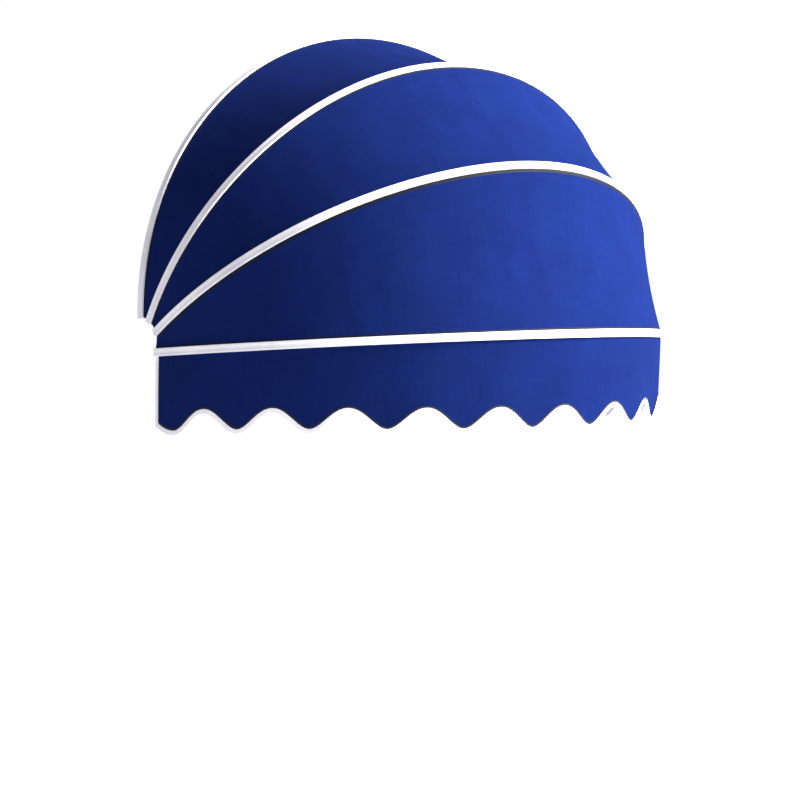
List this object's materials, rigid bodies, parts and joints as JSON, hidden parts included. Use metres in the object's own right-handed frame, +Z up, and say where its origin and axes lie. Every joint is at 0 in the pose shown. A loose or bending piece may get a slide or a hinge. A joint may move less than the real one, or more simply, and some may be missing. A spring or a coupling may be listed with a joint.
{
  "type": "window awning",
  "caption": "Folding dome awning for one window: half-round white hoops on a common hinge axis, blue canvas between them and a scalloped valance.",
  "frame": {"origin": "centre of the crown bracket's back face, on the wall plane, midway along the width", "axes": "+X along the wall to the viewer's right, +Y into the wall, +Z up; the awning stands out from the wall towards -Y"},
  "size_m": [1.4992, 0.762, 1.0484],
  "materials": {
    "white_frame": "satin white powder coat on extruded aluminium",
    "canvas": "royal blue woven awning canvas, matte",
    "binding": "white woven bias tape",
    "zinc_steel": "bright zinc plate",
    "nylon": "natural white moulded nylon"
  },
  "bodies": {
    "wall_frame": {"wall_hoop": "white_frame", "crown_bracket": "white_frame", "crown_screw": "zinc_steel", "pulley_housing": "zinc_steel", "pulley_axle": "zinc_steel", "left_wall_bracket": "white_frame", "left_hinge_bolt": "zinc_steel", "left_hinge_nut": "zinc_steel", "left_washer_1": "nylon", "left_washer_2": "nylon", "left_washer_3": "nylon", "left_washer_4": "nylon", "left_wall_arm": "zinc_steel", "left_wall_arm_screw": "zinc_steel", "right_wall_bracket": "white_frame", "right_hinge_bolt": "zinc_steel", "right_hinge_nut": "zinc_steel", "right_washer_1": "nylon", "right_washer_2": "nylon", "right_washer_3": "nylon", "right_washer_4": "nylon", "right_wall_arm": "zinc_steel", "right_wall_arm_screw": "zinc_steel"},
    "sheave": {"pulley_sheave": "nylon"},
    "upper_rib": {"upper_hoop": "white_frame", "upper_cord_eye": "zinc_steel", "upper_gore": "canvas", "left_upper_arm": "zinc_steel", "left_upper_arm_screw": "zinc_steel", "right_upper_arm": "zinc_steel", "right_upper_arm_screw": "zinc_steel"},
    "lower_rib": {"lower_hoop": "white_frame", "lower_cord_eye": "zinc_steel", "middle_gore": "canvas", "left_lower_arm": "zinc_steel", "left_lower_arm_screw": "zinc_steel", "right_lower_arm": "zinc_steel", "right_lower_arm_screw": "zinc_steel"},
    "front_rib": {"front_hoop": "white_frame", "front_cord_eye": "zinc_steel", "lower_gore": "canvas", "valance": "canvas", "valance_binding": "binding", "left_front_arm": "zinc_steel", "left_front_arm_screw": "zinc_steel", "right_front_arm": "zinc_steel", "right_front_arm_screw": "zinc_steel"}
  },
  "joints": [
    {"name": "upper_hinge", "type": "hinge", "parent": "wall_frame", "child": "upper_rib", "pos_m": [0, -0.012, -0.6974], "axis": [-1, 0, 0], "range_deg": [0, 27], "deforming": ["upper_gore"]},
    {"name": "lower_hinge", "type": "hinge", "parent": "upper_rib", "child": "lower_rib", "pos_m": [0, -0.012, -0.6974], "axis": [-1, 0, 0], "range_deg": [0, 25.31], "deforming": ["middle_gore"]},
    {"name": "front_hinge", "type": "hinge", "parent": "lower_rib", "child": "front_rib", "pos_m": [0, -0.012, -0.6974], "axis": [-1, 0, 0], "range_deg": [0, 29.71], "deforming": ["lower_gore"]},
    {"name": "sheave_spin", "type": "hinge", "parent": "wall_frame", "child": "sheave", "pos_m": [0, -0.0203, -0.008], "axis": [1, 0, 0], "continuous": true}
  ],
  "couplings": [
    {"joint": "lower_hinge", "follows": "upper_hinge", "ratio": 0.937},
    {"joint": "front_hinge", "follows": "upper_hinge", "ratio": 1.1}
  ]
}
